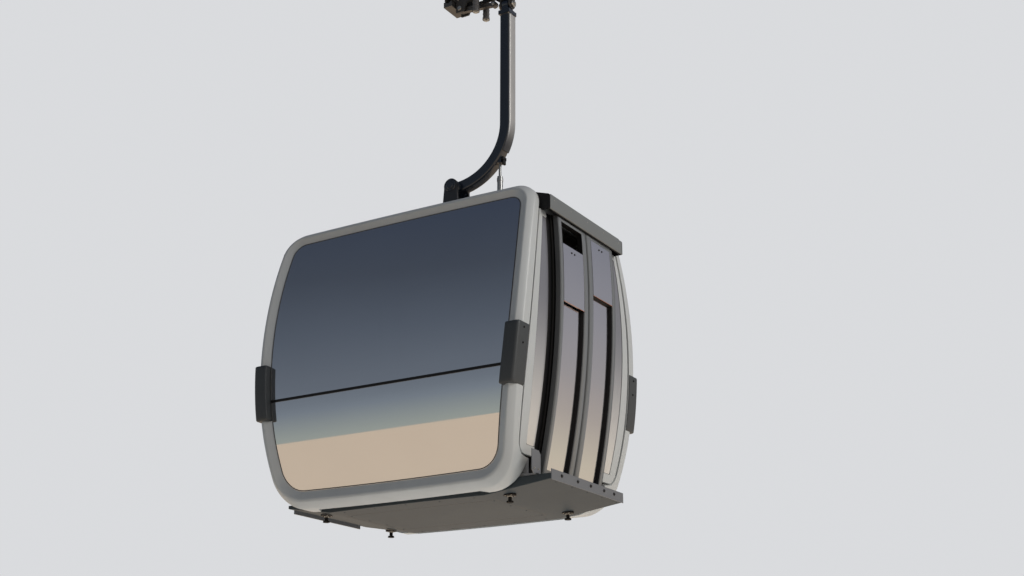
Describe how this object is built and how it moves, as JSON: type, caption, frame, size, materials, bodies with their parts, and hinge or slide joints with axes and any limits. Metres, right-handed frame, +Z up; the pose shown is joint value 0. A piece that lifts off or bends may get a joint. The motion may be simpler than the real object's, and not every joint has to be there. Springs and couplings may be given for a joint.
{
  "type": "gondola lift cabin",
  "caption": "Closed cable car cabin with bulged glass ends in wide rings and sliding double doors, under a bent side hanger with a rope grip.",
  "frame": {"origin": "on the centre line of the haul rope, in the middle of the grip's jaw", "axes": "+Z up, +Y along the rope in the direction of travel, +X towards the side with the doors and the hanger"},
  "size_m": [2.438, 1.808, 4.39],
  "materials": {
    "ring_paint": "satin",
    "tinted_glass": "gloss",
    "door_glass": "gloss",
    "divider_black": "gloss",
    "panel_black": "satin",
    "roof_paint": "satin",
    "floor_metal": "matte",
    "header_paint": "satin",
    "base_paint": "matte",
    "sill_metal": "satin",
    "bumper_rubber": "matte",
    "seal_rubber": "matte",
    "leaf_paint": "satin",
    "rail_steel": "brushed",
    "seat_shell": "matte",
    "seat_cushion": "matte",
    "hanger_paint": "gloss",
    "frame_paint": "satin",
    "damper_metal": "satin",
    "grip_metal": "matte",
    "jaw_metal": "brushed",
    "spring_paint": "satin",
    "wheel_tread": "matte"
  },
  "bodies": {
    "grip": {"grip_frame": "grip_metal", "spring_packs": "spring_paint", "jaw_pin": "rail_steel", "swing_pin": "rail_steel"},
    "jaw": {"moving_jaw": "jaw_metal"},
    "front_wheel": {"running_wheel_front": "wheel_tread"},
    "rear_wheel": {"running_wheel_rear": "wheel_tread"},
    "roller": {"guide_roller": "wheel_tread"},
    "cabin": {"hanger_arm": "hanger_paint", "damper": "damper_metal", "damper_clevis": "hanger_paint", "suspension_frame": "frame_paint", "suspension_pads": "seal_rubber", "suspension_pin": "rail_steel", "ring_front": "ring_paint", "ring_rear": "ring_paint", "glass_front_upper": "tinted_glass", "glass_front_lower": "tinted_glass", "glass_rear_upper": "tinted_glass", "glass_rear_lower": "tinted_glass", "glass_dividers": "divider_black", "corner_panel_front_right": "panel_black", "corner_panel_rear_right": "panel_black", "corner_panel_front_left": "panel_black", "corner_panel_rear_left": "panel_black", "corner_windows": "tinted_glass", "bumpers": "bumper_rubber", "roof_panel": "roof_paint", "floor_pan": "floor_metal", "header_right": "header_paint", "header_left": "header_paint", "header_ends": "header_paint", "door_rail": "rail_steel", "door_seal": "seal_rubber", "base_plate": "base_paint", "sill_strips": "sill_metal", "guide_brackets": "base_paint", "feet": "seal_rubber", "left_bay_frame": "leaf_paint", "left_bay_glass": "door_glass", "bench_frame_front": "seat_shell", "bench_frame_rear": "seat_shell", "bench_cushion_front": "seat_cushion", "bench_cushion_rear": "seat_cushion"},
    "door_front": {"door_front_frame": "leaf_paint", "door_front_glass": "door_glass", "door_front_seal": "seal_rubber", "door_front_rubber": "seal_rubber"},
    "door_rear": {"door_rear_frame": "leaf_paint", "door_rear_glass": "door_glass", "door_rear_seal": "seal_rubber", "door_rear_rubber": "seal_rubber"}
  },
  "joints": [
    {"name": "cabin_swing", "type": "hinge", "parent": "grip", "child": "cabin", "pos_m": [0.515, 0, -0.15], "axis": [1, 0, 0], "range_deg": [-35, 35]},
    {"name": "jaw_open", "type": "hinge", "parent": "grip", "child": "jaw", "pos_m": [0.079, 0, -0.069], "axis": [0, -1, 0], "range_deg": [0, 18]},
    {"name": "front_wheel_spin", "type": "hinge", "parent": "grip", "child": "front_wheel", "pos_m": [0.664, -0.13, 0.028], "axis": [1, 0, 0], "continuous": true},
    {"name": "rear_wheel_spin", "type": "hinge", "parent": "grip", "child": "rear_wheel", "pos_m": [0.664, 0.13, 0.028], "axis": [1, 0, 0], "continuous": true},
    {"name": "guide_roller_spin", "type": "hinge", "parent": "grip", "child": "roller", "pos_m": [0.664, 0, -0.086], "axis": [0, 0, 1], "continuous": true},
    {"name": "door_front_slide", "type": "slide", "parent": "cabin", "child": "door_front", "axis": [0, -1, 0], "range_m": [0, 0.37]},
    {"name": "door_rear_slide", "type": "slide", "parent": "cabin", "child": "door_rear", "axis": [0, 1, 0], "range_m": [0, 0.37]}
  ],
  "couplings": [
    {"joint": "door_rear_slide", "follows": "door_front_slide", "ratio": 1}
  ]
}
